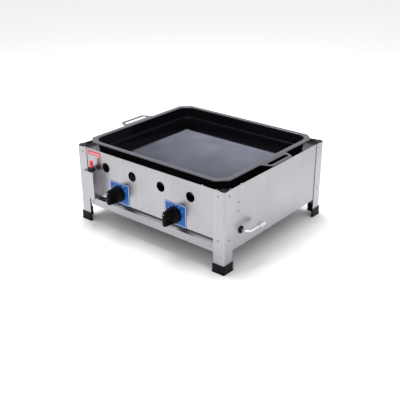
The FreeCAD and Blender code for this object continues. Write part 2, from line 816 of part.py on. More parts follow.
# ---- write every sub-part -------------------------------------------------------------------
def main():
    os.makedirs("parts", exist_ok=True)
    leg = angle_leg()
    cap = foot_cap(leg)
    gusset = corner_gusset()
    places = {"front_right": lambda s: s, "front_left": mirror_x, "rear_right": mirror_y,
              "rear_left": lambda s: mirror_x(mirror_y(s))}
    for place, put in places.items():
        save("leg_" + place, put(leg))
        save("foot_cap_" + place, put(cap))
        save("gusset_" + place, put(gusset))
    save("front_panel", front_panel())
    save("rear_panel", rear_panel())
    save("left_panel", left_panel())
    save("right_panel", right_panel())
    save("front_rail", front_rail())
    save("rail_screws", rail_screws())
    save("frame_rivets", frame_rivets())
    save("leg_plugs", leg_plugs())
    save("heat_shield", heat_shield())
    save("stripe_label", stripe_label())
    save("pan", pan())
    turn_to_y = FreeCAD.Rotation(X, -90)
    for side, x in (("left", -knob_x), ("right", knob_x)):
        save("knob_plate_" + side, knob_plate(x))
        save("knob_" + side, knob(x))
        save("knob_mark_" + side, pointer_mark(x))
        save("spindle_" + side, spindle(x))
        save("valve_plug_" + side, valve_plug(x))
        save("valve_body_" + side, valve_body(x))
        spring_start = collar_y + collar_width + spring_wire
        spring_length = plug_front_y - spring_start - spring_wire
        save("valve_spring_" + side, coil_spring(spring_radius, spring_wire, (x, spring_start, knob_z),
                                                 turn_to_y, spring_length, spring_turns))
        save("injector_" + side, injector(x))
        save("burner_" + side, burner(x))
        save("thermocouple_" + side, thermocouple(x))
    save("manifold_pipe", manifold())
    hanger = manifold_hanger()
    pipe_hole = rod(inlet_pipe_radius, (manifold_half, manifold_y, manifold_z), X, inner_x - manifold_half)
    save("manifold_hanger_right", hanger.cut(pipe_hole))
    save("manifold_hanger_left", mirror_x(hanger))
    save("inlet_pipe", inlet_pipe())
    save("inlet_grommet", inlet_grommet())
    save("inlet_nut", inlet_nut())
    save("inlet_nipple", inlet_nipple())
    save("burner_support_front", burner_support(burner_front_y))
    save("burner_support_rear", burner_support(rear_support_y))
    save("igniter_bracket", igniter_bracket())
    save("igniter_body", igniter_body())
    save("igniter_bezel", igniter_bezel())
    save("igniter_button", igniter_button())
    spring_low = igniter_body_low + igniter_spring_seat + spring_wire
    spring_height = igniter_button_low - spring_wire - spring_low
    spring_start = (igniter_x, igniter_y, spring_low)
    save("igniter_spring", coil_spring(igniter_spring_radius, spring_wire, spring_start,
                                       FreeCAD.Rotation(), spring_height, igniter_spring_turns))
    save("ignition_lead", ignition_lead())
    save("spark_electrode", spark_electrode())
    save("electrode_clip", electrode_clip())


main()
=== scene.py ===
import math

import bmesh
import bpy
from mathutils import Matrix, Vector


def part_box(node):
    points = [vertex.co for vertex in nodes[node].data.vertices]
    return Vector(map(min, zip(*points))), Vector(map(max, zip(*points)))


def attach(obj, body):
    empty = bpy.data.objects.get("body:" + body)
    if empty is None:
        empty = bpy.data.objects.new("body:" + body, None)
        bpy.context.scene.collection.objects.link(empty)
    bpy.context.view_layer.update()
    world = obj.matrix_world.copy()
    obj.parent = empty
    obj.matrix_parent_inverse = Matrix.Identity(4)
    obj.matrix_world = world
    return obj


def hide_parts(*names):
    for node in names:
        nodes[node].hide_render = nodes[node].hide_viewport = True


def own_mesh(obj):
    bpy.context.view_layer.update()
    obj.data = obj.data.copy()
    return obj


# Two-burner gas griddle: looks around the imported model. Metres, in the row frame.
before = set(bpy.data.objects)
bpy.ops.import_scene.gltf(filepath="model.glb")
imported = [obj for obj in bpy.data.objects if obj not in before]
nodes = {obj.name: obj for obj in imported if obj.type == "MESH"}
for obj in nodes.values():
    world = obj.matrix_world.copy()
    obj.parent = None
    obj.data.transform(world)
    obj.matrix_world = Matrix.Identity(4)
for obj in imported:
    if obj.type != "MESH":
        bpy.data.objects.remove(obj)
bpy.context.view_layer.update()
mm = 0.001

leg_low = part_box("leg_front_left")[0]
leg_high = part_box("leg_rear_right")[1]
body_centre = Vector(((leg_low.x + leg_high.x) / 2, (leg_low.y + leg_high.y) / 2, 0))


# ---- node helpers ---------------------------------------------------------------------------
class Shader:
    """A node material under construction."""

    def __init__(self, name):
        self.material = bpy.data.materials.new(name)
        self.material.use_nodes = True
        self.tree = self.material.node_tree
        self.bsdf = self.tree.nodes["Principled BSDF"]
        self.coords = self.add("ShaderNodeTexCoord").outputs["Object"]

    def add(self, kind, **settings):
        node = self.tree.nodes.new(kind)
        for key, value in settings.items():
            setattr(node, key, value)
        return node

    def link(self, source, target):
        self.tree.links.new(source, target)

    def put(self, socket, value):
        """Link an output, or set a plain value, on a socket of the shader."""
        target = self.bsdf.inputs[socket]
        if isinstance(value, bpy.types.NodeSocket):
            self.link(value, target)
        else:
            target.default_value = value

    def place(self, scale=(1, 1, 1), location=(0, 0, 0)):
        node = self.add("ShaderNodeMapping")
        node.inputs["Scale"].default_value = scale
        node.inputs["Location"].default_value = location
        self.link(self.coords, node.inputs["Vector"])
        return node.outputs["Vector"]

    def noise(self, scale, stretch=(1, 1, 1), detail=3.0, roughness=0.5):
        node = self.add("ShaderNodeTexNoise")
        node.inputs["Scale"].default_value = scale
        node.inputs["Detail"].default_value = detail
        node.inputs["Roughness"].default_value = roughness
        self.link(self.place(stretch), node.inputs["Vector"])
        return node.outputs["Fac"]

    def spots(self, scale, stretch=(1, 1, 1)):
        """Distance to scattered points, for specks and pits."""
        node = self.add("ShaderNodeTexVoronoi")
        node.inputs["Scale"].default_value = scale
        self.link(self.place(stretch), node.inputs["Vector"])
        return node.outputs["Distance"]

    def spread(self, value, low, high, to_low=0.0, to_high=1.0):
        node = self.add("ShaderNodeMapRange")
        self.link(value, node.inputs["Value"])
        node.inputs["From Min"].default_value = low
        node.inputs["From Max"].default_value = high
        node.inputs["To Min"].default_value = to_low
        node.inputs["To Max"].default_value = to_high
        return node.outputs["Result"]

    def math(self, operation, first, second=None):
        node = self.add("ShaderNodeMath", operation=operation)
        for socket, value in zip(node.inputs, (first, second)):
            if isinstance(value, bpy.types.NodeSocket):
                self.link(value, socket)
            elif value is not None:
                socket.default_value = value
        return node.outputs["Value"]

    def mix(self, factor, first, second):
        """Blend two colours, each a tuple or an output."""
        node = self.add("ShaderNodeMix", data_type="RGBA")
        colours = [s for s in node.inputs if s.type == "RGBA"]
        if isinstance(factor, bpy.types.NodeSocket):
            self.link(factor, node.inputs["Factor"])
        else:
            node.inputs["Factor"].default_value = factor
        for socket, value in zip(colours, (first, second)):
            if isinstance(value, bpy.types.NodeSocket):
                self.link(value, socket)
            else:
                socket.default_value = (*value, 1)
        return [s for s in node.outputs if s.type == "RGBA"][0]

    def blend(self, factor, first, second):
        """Blend two plain numbers or outputs."""
        node = self.add("ShaderNodeMix", data_type="FLOAT")
        for name, value in (("Factor", factor), ("A", first), ("B", second)):
            socket = [x for x in node.inputs if x.name == name and x.type == "VALUE"][0]
            if isinstance(value, bpy.types.NodeSocket):
                self.link(value, socket)
            else:
                socket.default_value = value
        return [x for x in node.outputs if x.type == "VALUE"][0]

    def axes(self, vector=None):
        node = self.add("ShaderNodeSeparateXYZ")
        self.link(vector or self.coords, node.inputs["Vector"])
        return node.outputs["X"], node.outputs["Y"], node.outputs["Z"]

    def bump(self, height, distance, strength=1.0, over=None):
        node = self.add("ShaderNodeBump")
        node.inputs["Distance"].default_value = distance
        node.inputs["Strength"].default_value = strength
        self.link(height, node.inputs["Height"])
        if over is not None:
            self.link(over, node.inputs["Normal"])
        return node.outputs["Normal"]


# ---- materials --------------------------------------------------------------------------------
grain_upright = (1, 1, 0.02)
grain_lengthwise = (0.02, 1, 1)
grain_coarse = (0.05, 1, 1)


def brushed_steel(name, colour, roughness=0.3, grain=grain_upright, stain=0.06):
    """Stainless sheet with a one-way grain, faint clouds and fine handling scratches."""
    grain_depth = 0.02
    s = Shader(name)
    streaks = s.noise(1400, grain, detail=2.0)
    bands = s.noise(60, grain, detail=3.0)
    clouds = s.noise(7, detail=4.0)
    smears = s.noise(28, (1, 1, 0.35), detail=5.0, roughness=0.6)
    dark = tuple(c * (1 - stain) for c in colour)
    light = tuple(min(1.0, c * (1 + stain)) for c in colour)
    tone = s.math("ADD", s.math("MULTIPLY", bands, 0.3), s.math("MULTIPLY", clouds, 0.7))
    s.put("Base Color", s.mix(s.spread(tone, 0.35, 0.65), dark, light))
    wear = s.math("ADD", s.math("MULTIPLY", streaks, 0.6), s.math("MULTIPLY", smears, 0.4))
    s.put("Roughness", s.spread(wear, 0.3, 0.7, roughness - 0.05, roughness + 0.08))
    s.put("Metallic", 1.0)
    s.put("Normal", s.bump(streaks, grain_depth * mm, 0.5))
    return s.material


def enamel():
    """Black vitreous enamel: glassy walls and rim, greyer matt cooking floor with painted shade towards
    the front and painted light towards the rear, sooty outside.
    """
    s = Shader("black_enamel_glaze")
    glaze_black, speck_grey = (0.0035, 0.0036, 0.0045), (0.05, 0.05, 0.055)
    # Painted shade and light: the cooking floor colour runs from dark at the front to lighter at the
    # rear.
    floor_shade_front, floor_light_rear = (0.021, 0.022, 0.031), (0.170, 0.174, 0.218)
    wall_shine, rim_shine, ledge_shine, outside_shine, floor_shine = 0.05, 0.54, 0.004, 0.02, 0.06
    fade_from, fade_to = 5 * mm, 1 * mm
    x, y, z = s.axes(s.place(location=(-pan_centre.x, -pan_centre.y, 0)))
    floor_z = pan_top - pan_depth
    floor_inset = pan_rim + upper_taper + ledge_width + lower_taper
    wall_x = pan_half_x - floor_inset
    wall_y = pan_half_y - floor_inset
    low = s.spread(z, floor_z - 0.4 * mm, floor_z + 3 * mm, 1.0, 0.0)
    over = s.math("GREATER_THAN", z, floor_z - pan_sheet / 2)
    inside_x = s.spread(s.math("ABSOLUTE", x), wall_x - fade_from, wall_x - fade_to, 1.0, 0.0)
    inside_y = s.spread(s.math("ABSOLUTE", y), wall_y - fade_from, wall_y - fade_to, 1.0, 0.0)
    cooking = s.math("MULTIPLY", s.math("MULTIPLY", low, over), s.math("MULTIPLY", inside_x, inside_y))
    ripple = s.noise(90, detail=2.0)
    peel = s.noise(700, detail=2.0)
    cloud = s.noise(9, detail=4.0)
    speck = s.spread(s.spots(900), 0.0, 0.12, 1.0, 0.0)
    black = s.mix(s.math("MULTIPLY", speck, 0.12), glaze_black, speck_grey)
    # Painted shade and light: darker towards the front, lighter towards the rear along y; the cloud adds
    # uneven tone.
    shade_and_tone = s.math("ADD", s.spread(y, -wall_y, wall_y, 0.0, 0.8), s.spread(cloud, 0.3, 0.7, 0.0, 0.2))
    floor_tone_and_shade = s.mix(s.math("POWER", shade_and_tone, 1.4), floor_shade_front, floor_light_rear)
    s.put("Base Color", s.mix(cooking, black, floor_tone_and_shade))
    soot = outer_wall(s, x, y, z)
    rough_glaze = s.blend(soot, s.spread(cloud, 0.3, 0.7, 0.07, 0.12), 0.65)
    s.put("Roughness", s.blend(cooking, rough_glaze, s.spread(cloud, 0.3, 0.7, 0.55, 0.65)))
    rim = s.spread(z, pan_top - 1.5 * mm, pan_top - 0.3 * mm)
    from_ledge = s.math("ABSOLUTE", s.math("SUBTRACT", z, pan_top - pan_ledge_depth))
    ledge = s.math("LESS_THAN", from_ledge, 0.4 * mm)
    glaze = s.blend(ledge, s.blend(rim, wall_shine, rim_shine), ledge_shine)
    s.put("Specular IOR Level", s.blend(cooking, s.blend(soot, glaze, outside_shine), floor_shine))
    # Painted light: the bluish specular tint colours the glaze's reflections as if the sky above were
    # bluish.
    s.put("Specular Tint", (0.84, 0.86, 1.0, 1))
    s.put("IOR", 2.0)
    wave = s.bump(ripple, 0.08 * mm, 0.6)
    s.put("Normal", s.bump(peel, 0.012 * mm, 0.5, over=wave))
    return s.material


def outer_wall(s, x, y, z):
    """1 on the sooty outside below the rim, 0 on the glazed inside and rim."""
    normal = s.axes(s.add("ShaderNodeNewGeometry").outputs["Normal"])
    outward_x = s.math("MULTIPLY", s.math("SIGN", x), normal[0])
    outward_y = s.math("MULTIPLY", s.math("SIGN", y), normal[1])
    outward = s.math("MAXIMUM", outward_x, outward_y)
    down = s.math("LESS_THAN", normal[2], -0.5)
    below = s.math("LESS_THAN", z, pan_top - 2.5 * mm)
    return s.math("MULTIPLY", s.math("MAXIMUM", s.math("GREATER_THAN", outward, 0.3), down), below)


def moulded_plastic(name, colour, roughness, grain_depth=0.03, scuff=0.02, coat=0.0, shine=0.5):
    """Moulded plastic with a fine texture, rubbed a little lighter here and there."""
    s = Shader(name)
    grain = s.noise(1600, detail=3.0)
    rub = s.noise(55, detail=5.0, roughness=0.65)
    rubbed = tuple(min(1.0, c + scuff) for c in colour)
    s.put("Base Color", s.mix(s.spread(rub, 0.5, 0.75), colour, rubbed))
    s.put("Roughness", s.spread(rub, 0.35, 0.7, roughness - 0.04, roughness + 0.08))
    s.put("Coat Weight", coat)
    s.put("Coat Roughness", 0.08)
    s.put("Specular IOR Level", shine)
    s.put("Normal", s.bump(grain, grain_depth * mm, 0.6))
    return s.material


def turned_metal(name, colour, roughness, tarnish, amount=0.25):
    """Machined or drawn metal with tarnish in soft clouds and a fine tooling mark."""
    s = Shader(name)
    cloud = s.noise(40, detail=5.0, roughness=0.6)
    fine = s.noise(900, (1, 0.15, 1), detail=2.0)
    s.put("Base Color", s.mix(s.spread(cloud, 0.45, 0.8, 0.0, amount), colour, tarnish))
    s.put("Roughness", s.spread(fine, 0.3, 0.7, roughness - 0.03, roughness + 0.07))
    s.put("Metallic", 1.0)
    s.put("Normal", s.bump(fine, 0.01 * mm, 0.5))
    return s.material


def heated_steel():
    """Burner tube: straw and blue heat tint along the top, sooty near the slots."""
    s = Shader("heated_burner_steel")
    z = s.axes()[2]
    low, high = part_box("burner_left")
    cloud = s.noise(30, detail=5.0, roughness=0.6)
    lift = s.math("ADD", s.spread(z, low.z, high.z), s.spread(cloud, 0.2, 0.8, -0.3, 0.3))
    ramp = s.add("ShaderNodeValToRGB")
    stops = ramp.color_ramp.elements
    stops[0].position = 0.25
    stops[0].color = (0.42, 0.41, 0.40, 1)
    stops[1].position = 1.0
    stops[1].color = (0.10, 0.09, 0.10, 1)
    for place, tint in ((0.55, (0.42, 0.33, 0.2, 1)), (0.75, (0.2, 0.2, 0.3, 1))):
        stops.new(place).color = tint
    s.link(lift, ramp.inputs["Fac"])
    s.put("Base Color", ramp.outputs["Color"])
    s.put("Roughness", s.spread(cloud, 0.2, 0.8, 0.3, 0.55))
    s.put("Metallic", 1.0)
    return s.material


def blue_scale(name, node, knob_axis):
    """Printed plate: blue field, pale border line and ticks over the knob's upper half."""
    s = Shader(name)
    border_from, border_to = 0.93, 0.965
    ring_inner, ring_outer = 29.5 * mm, 32.5 * mm
    ticks_per_turn, tick_sharpness = 12.0, 0.93
    low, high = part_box(node)
    centre = (low + high) / 2
    half = (high - low) / 2
    x, _, z = s.axes(s.place(location=(-centre.x, 0, -knob_axis.z)))
    edge = s.math("MAXIMUM", s.math("DIVIDE", s.math("ABSOLUTE", x), half.x),
                  s.math("DIVIDE", s.math("ABSOLUTE", z), half.z))
    border = s.math("MULTIPLY", s.math("GREATER_THAN", edge, border_from),
                    s.math("LESS_THAN", edge, border_to))
    radius = s.math("SQRT", s.math("ADD", s.math("MULTIPLY", x, x), s.math("MULTIPLY", z, z)))
    angle = s.math("ARCTAN2", x, z)
    wave = s.math("COSINE", s.math("MULTIPLY", angle, ticks_per_turn))
    tick = s.math("GREATER_THAN", wave, tick_sharpness)
    ring = s.math("MULTIPLY", s.math("GREATER_THAN", radius, ring_inner),
                  s.math("LESS_THAN", radius, ring_outer))
    upper = s.math("GREATER_THAN", z, 4 * mm)
    ticks = s.math("MULTIPLY", s.math("MULTIPLY", tick, ring), upper)
    print_mask = s.math("MAXIMUM", border, ticks)
    cloud = s.noise(25, detail=4.0)
    field = s.mix(s.spread(cloud, 0.3, 0.7), (0.012, 0.098, 0.36), (0.018, 0.12, 0.42))
    s.put("Base Color", s.mix(print_mask, field, (0.72, 0.8, 0.88)))
    s.put("Roughness", s.spread(cloud, 0.3, 0.7, 0.35, 0.43))
    s.put("Specular IOR Level", 0.3)
    return s.material


def red_stripes():
    """Generic sticker: red field with a broken pale stripe and a thin pale line."""
    s = Shader("red_stripe_print")
    stripe_middle, stripe_half = 0.02, 0.17
    dash_pitch, dash_gap = 26.0, -0.55
    line_low, line_high = -0.74, -0.62
    print_half = 0.86
    low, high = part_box("stripe_label")
    centre = (low + high) / 2
    half = (high - low) / 2
    x, _, z = s.axes(s.place(location=(-centre.x, 0, -centre.z)))
    across = s.math("DIVIDE", x, half.x)
    up = s.math("DIVIDE", z, half.z)
    stripe = s.math("LESS_THAN", s.math("ABSOLUTE", s.math("SUBTRACT", up, stripe_middle)), stripe_half)
    dashes = s.math("GREATER_THAN", s.math("SINE", s.math("MULTIPLY", across, dash_pitch)), dash_gap)
    inside = s.math("LESS_THAN", s.math("ABSOLUTE", across), print_half)
    mark = s.math("MULTIPLY", s.math("MULTIPLY", stripe, dashes), inside)
    lower = s.math("MULTIPLY", s.math("LESS_THAN", up, line_high), s.math("GREATER_THAN", up, line_low))
    pale = s.math("MAXIMUM", mark, s.math("MULTIPLY", lower, inside))
    cloud = s.noise(60, detail=3.0)
    red = s.mix(s.spread(cloud, 0.3, 0.7), (0.56, 0.008, 0.014), (0.66, 0.014, 0.02))
    s.put("Base Color", s.mix(pale, red, (0.82, 0.72, 0.7)))
    s.put("Roughness", s.spread(cloud, 0.3, 0.7, 0.25, 0.35))
    s.put("Coat Weight", 0.3)
    return s.material


def ceramic():
    """Glazed porcelain, a little stained."""
    s = Shader("electrode_glaze")
    cloud = s.noise(120, detail=4.0)
    s.put("Base Color", s.mix(s.spread(cloud, 0.4, 0.8), (0.8, 0.78, 0.72), (0.5, 0.44, 0.36)))
    s.put("Roughness", s.spread(cloud, 0.3, 0.7, 0.15, 0.3))
    return s.material


# ---- mesh helpers -----------------------------------------------------------------------------
def finish_mesh(bm, name, body, material):
    bmesh.ops.recalc_face_normals(bm, faces=bm.faces)
    mesh = bpy.data.meshes.new(name)
    bm.to_mesh(mesh)
    bm.free()
    mesh.shade_smooth()
    piece = bpy.data.objects.new(name, mesh)
    bpy.context.scene.collection.objects.link(piece)
    piece.data.materials.append(material)
    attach(piece, body)
    return piece


def rounded_outline(points, radii, steps=6):
    """2-D polygon with each corner turned into an arc of its own radius."""
    outline = []
    count = len(points)
    for i, (point, radius) in enumerate(zip(points, radii)):
        corner = Vector(point)
        before = (Vector(points[i - 1]) - corner).normalized()
        after = (Vector(points[(i + 1) % count]) - corner).normalized()
        half = before.angle(after) / 2
        reach = radius / math.tan(half)
        centre = corner + (before + after).normalized() * (radius / math.sin(half))
        first = corner + before * reach - centre
        last = corner + after * reach - centre
        turn = first.angle_signed(last)
        for k in range(steps + 1):
            outline.append(centre + Matrix.Rotation(-turn * k / steps, 2) @ first)
    return outline


def rectangle_outline(half_x, half_y, radius, steps=8):
    corners = [(half_x, -half_y), (half_x, half_y), (-half_x, half_y), (-half_x, -half_y)]
    return rounded_outline(corners, [radius] * 4, steps)


def bridge(bm, lower, upper):
    """Quads between two loops of vertices with the same count."""
    count = len(lower)
    for i in range(count):
        j = (i + 1) % count
        bm.faces.new((lower[i], lower[j], upper[j], upper[i]))


def loop_edges(bm, loop):
    """Edges round a loop of vertices, made where they don't exist yet."""
    edges = []
    for first, second in zip(loop, loop[1:] + loop[:1]):
        edges.append(bm.edges.get((first, second)) or bm.edges.new((first, second)))
    return edges


def fillet(inset_from, z_from, inset_to, z_to, steps, bulge):
    """Quarter-turn of a profile; bulge 1 leaves level first, -1 leaves steeply first."""
    stops = []
    for k in range(1, steps + 1):
        a = math.pi / 2 * k / steps
        if bulge > 0:
            along, down = math.sin(a), 1 - math.cos(a)
        else:
            along, down = 1 - math.cos(a), math.sin(a)
        stops.append((inset_from + (inset_to - inset_from) * along, z_from + (z_to - z_from) * down))
    return stops


sharp_angle = math.radians(35)


def soften_cad(name, width, segments=2):
    """Round the edges of a carried-over node and shade it smoothly."""
    piece = nodes[name]
    piece.data.shade_smooth()
    weld = piece.modifiers.new("weld", "WELD")
    weld.merge_threshold = 0.00001
    bevel = piece.modifiers.new("edge", "BEVEL")
    bevel.width = width
    bevel.segments = segments
    bevel.limit_method = "ANGLE"
    bevel.angle_limit = sharp_angle
    bevel.use_clamp_overlap = True
    flat = piece.modifiers.new("flat", "WEIGHTED_NORMAL")
    flat.weight = 100
    flat.keep_sharp = True


def smooth_cad(name):
    """Shade a carried-over node smoothly, with sharp edges kept."""
    mesh = nodes[name].data
    mesh.shade_smooth()
    mesh.set_sharp_from_angle(angle=sharp_angle)


def dress(names, material):
    """Give carried-over nodes a material in every slot."""
    for name in names:
        slots = nodes[name].data.materials
        for i in range(max(1, len(slots))):
            if i < len(slots):
                slots[i] = material
            else:
                slots.append(material)


# ---- pan --------------------------------------------------------------------------------------
pan_low, pan_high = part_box("pan")
pan_centre = (pan_low + pan_high) / 2
pan_top = pan_high.z
pan_tip = (pan_high.x - pan_low.x) / 2
pan_half_y = (pan_high.y - pan_low.y) / 2
handle_reach = 36 * mm
pan_half_x = pan_tip - handle_reach
pan_depth = 82 * mm
pan_sheet = 2 * mm
pan_corner_cut = 31 * mm
pan_rim = 16.5 * mm
pan_rim_radius = 42 * mm
pan_ledge_depth = 37 * mm
upper_taper = 5 * mm
ledge_width = 9 * mm
lower_taper = 8 * mm
handle_half_root = 70 * mm
handle_half_tip = 54 * mm
slot_half_length = 52 * mm
slot_width = 18 * mm
handle_bar = 10 * mm
corner_round = 14 * mm
handle_root_round = 10 * mm
handle_tip_round = 12 * mm
pan_floor_radius = 12 * mm
pan_edge = 0.7 * mm


def pan_profile():
    """(inset from the rim's inner edge, z) from the rim down to the floor."""
    ledge = pan_top - pan_ledge_depth
    floor = pan_top - pan_depth
    rim_r, lip_r, crook_r, floor_r = 3 * mm, 1.2 * mm, 2 * mm, 5 * mm
    upper_draft, lip_draft, lower_draft, floor_margin = 0.3 * mm, 0.2 * mm, 0.9 * mm, 12 * mm
    wall_foot = upper_taper - upper_draft
    ledge_end = upper_taper + ledge_width
    base = ledge_end + lower_taper
    stops = [(0, pan_top)]
    stops += fillet(0, pan_top, rim_r * 0.5, pan_top - rim_r, 5, 1)
    stops += [(wall_foot, ledge + crook_r)]
    stops += fillet(wall_foot, ledge + crook_r, upper_taper + crook_r, ledge, 4, -1)
    stops += [(ledge_end - lip_r, ledge)]
    stops += fillet(ledge_end - lip_r, ledge, ledge_end + lip_draft, ledge - lip_r, 4, 1)
    stops += [(base - lower_draft, floor + floor_r)]
    stops += fillet(base - lower_draft, floor + floor_r, base + floor_r, floor, 6, -1)
    stops += [(base + floor_r + floor_margin, floor)]
    return stops


def build_pan(material):
    """One pressed sheet: rim with cut corners and hand loops, stepped walls, flat floor."""
    bm = bmesh.new()
    a, b, c = pan_half_x, pan_half_y, pan_corner_cut
    right = [(a - c, -b), (a, -b + c), (a, -handle_half_root), (pan_tip, -handle_half_tip),
             (pan_tip, handle_half_tip), (a, handle_half_root), (a, b - c), (a - c, b)]
    half_radii = [corner_round, corner_round, handle_root_round, handle_tip_round]
    radii = half_radii + half_radii[::-1]
    outline = rounded_outline(right + [(-x, -y) for x, y in right], radii * 2)

    def place(points, z):
        return [bm.verts.new((pan_centre.x + p.x, pan_centre.y + p.y, z)) for p in points]

    rim = place(outline, pan_top)
    slot_r = slot_width / 2
    slot_x = pan_tip - handle_bar - slot_r
    holes = []
    for side in (-1, 1):
        ring = rectangle_outline(slot_r, slot_half_length, slot_r * 0.98)
        holes.append(place([p + Vector((side * slot_x, 0)) for p in ring], pan_top))
    rings = []
    for inset, z in pan_profile():
        half_x = a - pan_rim - inset
        half_y = b - pan_rim - inset
        radius = max(pan_rim_radius - inset, pan_floor_radius)
        rings.append(place(rectangle_outline(half_x, half_y, radius), z))
    edges = loop_edges(bm, rim) + loop_edges(bm, rings[0])
    for hole in holes:
        edges += loop_edges(bm, hole)
    bmesh.ops.triangle_fill(bm, edges=edges, use_beauty=True, normal=(0, 0, 1))
    for upper, lower in zip(rings, rings[1:]):
        bridge(bm, lower, upper)
    bm.faces.new(rings[-1])
    piece = finish_mesh(bm, "pan_enamelled", "pan", material)
    if piece.data.polygons[-1].normal.z < 0:
        piece.data.flip_normals()
    solid = piece.modifiers.new("sheet", "SOLIDIFY")
    solid.thickness = pan_sheet
    solid.offset = -1
    solid.use_even_offset = True
    edge = piece.modifiers.new("edge", "BEVEL")
    edge.width = pan_edge
    edge.segments = 3
    edge.limit_method = "ANGLE"
    edge.angle_limit = math.radians(50)
    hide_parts("pan")


# ---- knobs ------------------------------------------------------------------------------------
knob_skirt = 13 * mm


def build_knob(side, material):
    """Moulded knob: round skirt, dished shoulder and a tapered finger bar blended into it."""
    node = "knob_" + side
    low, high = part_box(node)
    axis = (low + high) / 2
    radius = (high.x - low.x) / 2
    depth = high.y - low.y
    bm = bmesh.new()

    def point(across, up, out):
        return bm.verts.new((axis.x + across, high.y - out, axis.z + up))

    profile = [(radius - 1.2 * mm, 0), (radius, 1.2 * mm), (radius, 9 * mm),
               (radius - 0.6 * mm, knob_skirt - 3 * mm),
               (radius - 2.2 * mm, knob_skirt - 0.8 * mm), (radius - 4.5 * mm, knob_skirt),
               (radius - 6.5 * mm, knob_skirt + 2.2 * mm), (radius - 8.5 * mm, knob_skirt + 5.5 * mm),
               (radius - 10.5 * mm, knob_skirt + 7.6 * mm), (radius - 14 * mm, knob_skirt + 8.2 * mm)]
    steps = 72
    rings = [[point(r * math.cos(2 * math.pi * k / steps), r * math.sin(2 * math.pi * k / steps), out)
              for k in range(steps)] for r, out in profile]
    for first, second in zip(rings, rings[1:]):
        bridge(bm, first, second)
    bm.faces.new(rings[0])
    bm.faces.new(rings[-1])

    base_half, tip_half = 10.4 * mm, 7.6 * mm
    base_long, tip_long = radius - 0.5 * mm, radius - 2.4 * mm
    start, corner_r, side_shrink = 5 * mm, 6.5 * mm, 0.9
    levels = [(0.0, 0.0), (0.5, 0.0), (0.86, 0.0), (0.93, 0.6), (0.975, 1.7), (1.0, 3.4)]
    bars = []
    for share, shrink in levels:
        half = base_half + (tip_half - base_half) * share - shrink * mm * side_shrink
        long = base_long + (tip_long - base_long) * share - shrink * mm
        out = start + (depth - start) * share
        outline = rectangle_outline(half, long, min(half * 0.9, corner_r), 6)
        bars.append([point(p.x, p.y, out) for p in outline])
    for first, second in zip(bars, bars[1:]):
        bridge(bm, first, second)
    bm.faces.new(bars[0])
    bm.faces.new(bars[-1])
    piece = finish_mesh(bm, "knob_moulded_" + side, "knob_" + side, material)
    remesh = piece.modifiers.new("blend", "REMESH")
    remesh.mode = "VOXEL"
    remesh.voxel_size = 0.55 * mm
    remesh.use_smooth_shade = True
    relax = piece.modifiers.new("relax", "SMOOTH")
    relax.factor = 0.5
    relax.iterations = 6
    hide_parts(node)


# ---- springs ----------------------------------------------------------------------------------
spring_wire = 0.6 * mm


def build_spring(node, body, along, turns, material):
    """Round-wire coil with closed ends, fixed to the given body."""
    low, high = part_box(node)
    centre = (low + high) / 2
    length = (high - low).dot(along)
    side = Vector((1, 0, 0))
    other = along.cross(side)
    radius = (high.x - low.x) / 2 - spring_wire
    climb = length - 2 * spring_wire
    steps_per_turn, wire_sides, end_closing = 28, 8, 0.7
    bm = bmesh.new()
    rings = []
    for i in range(turns * steps_per_turn + 1):
        angle = 2 * math.pi * i / steps_per_turn
        share = i / (turns * steps_per_turn)
        height = share - end_closing * math.sin(2 * math.pi * share) / (2 * math.pi)
        outward = side * math.cos(angle) + other * math.sin(angle)
        middle = centre + outward * radius + along * (climb * (height - 0.5))
        ring = []
        for k in range(wire_sides):
            turn = 2 * math.pi * k / wire_sides
            offset = (outward * math.cos(turn) + along * math.sin(turn)) * spring_wire
            ring.append(bm.verts.new(middle + offset))
        rings.append(ring)
    for first, second in zip(rings, rings[1:]):
        bridge(bm, first, second)
    bm.faces.new(rings[0])
    bm.faces.new(rings[-1])
    piece = finish_mesh(bm, node + "_coil", body, material)
    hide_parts(node)
    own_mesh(piece)


# ---- dressing the carried-over nodes ------------------------------------------------------------
# The legs and the front rail are the same brushed stainless as the sheet. Besides the rail's own grain
# and roughness, the legs' colour is painted a little lighter as painted light and the rail's darker as
# painted shade.
steel = brushed_steel("brushed_stainless_sheet", (0.388, 0.385, 0.400), roughness=0.3)
leg_steel_painted_light = brushed_steel("brushed_stainless_legs_painted_light", (0.407, 0.404, 0.421), roughness=0.3)
rail_steel_painted_shade = brushed_steel("brushed_stainless_rail_painted_shade", (0.350, 0.350, 0.366), roughness=0.28,
                           grain=grain_lengthwise)
inner = brushed_steel("mill_finish_steel", (0.36, 0.36, 0.37), roughness=0.4,
                      grain=grain_coarse, stain=0.15)
sooted = brushed_steel("heat_darkened_steel", (0.10, 0.10, 0.105), roughness=0.55,
                       grain=grain_coarse, stain=0.3)
fastener = turned_metal("fastener_steel", (0.3, 0.3, 0.31), 0.35, tarnish=(0.16, 0.155, 0.15), amount=0.5)
enamel_black = enamel()
cap_plastic = moulded_plastic("cap_black_plastic", (0.005, 0.005, 0.007), 0.4, scuff=0.004, shine=0.08)
plug_plastic = moulded_plastic("plug_black_plastic", (0.003, 0.003, 0.004), 0.25,
                               grain_depth=0.004, scuff=0.002, shine=0.09)
knob_plastic = moulded_plastic("knob_black_plastic", (0.0018, 0.0018, 0.002), 0.14,
                               grain_depth=0.003, scuff=0.002, shine=0.055)
bezel_plastic = moulded_plastic("igniter_black_plastic", (0.004, 0.004, 0.004), 0.3,
                                grain_depth=0.01, scuff=0.004, shine=0.2)
button_red = moulded_plastic("igniter_red_plastic", (0.68, 0.012, 0.03), 0.2,
                             grain_depth=0.004, coat=0.3)
rubber = moulded_plastic("grommet_rubber", (0.006, 0.006, 0.006), 0.6,
                         grain_depth=0.05, scuff=0.005, shine=0.1)
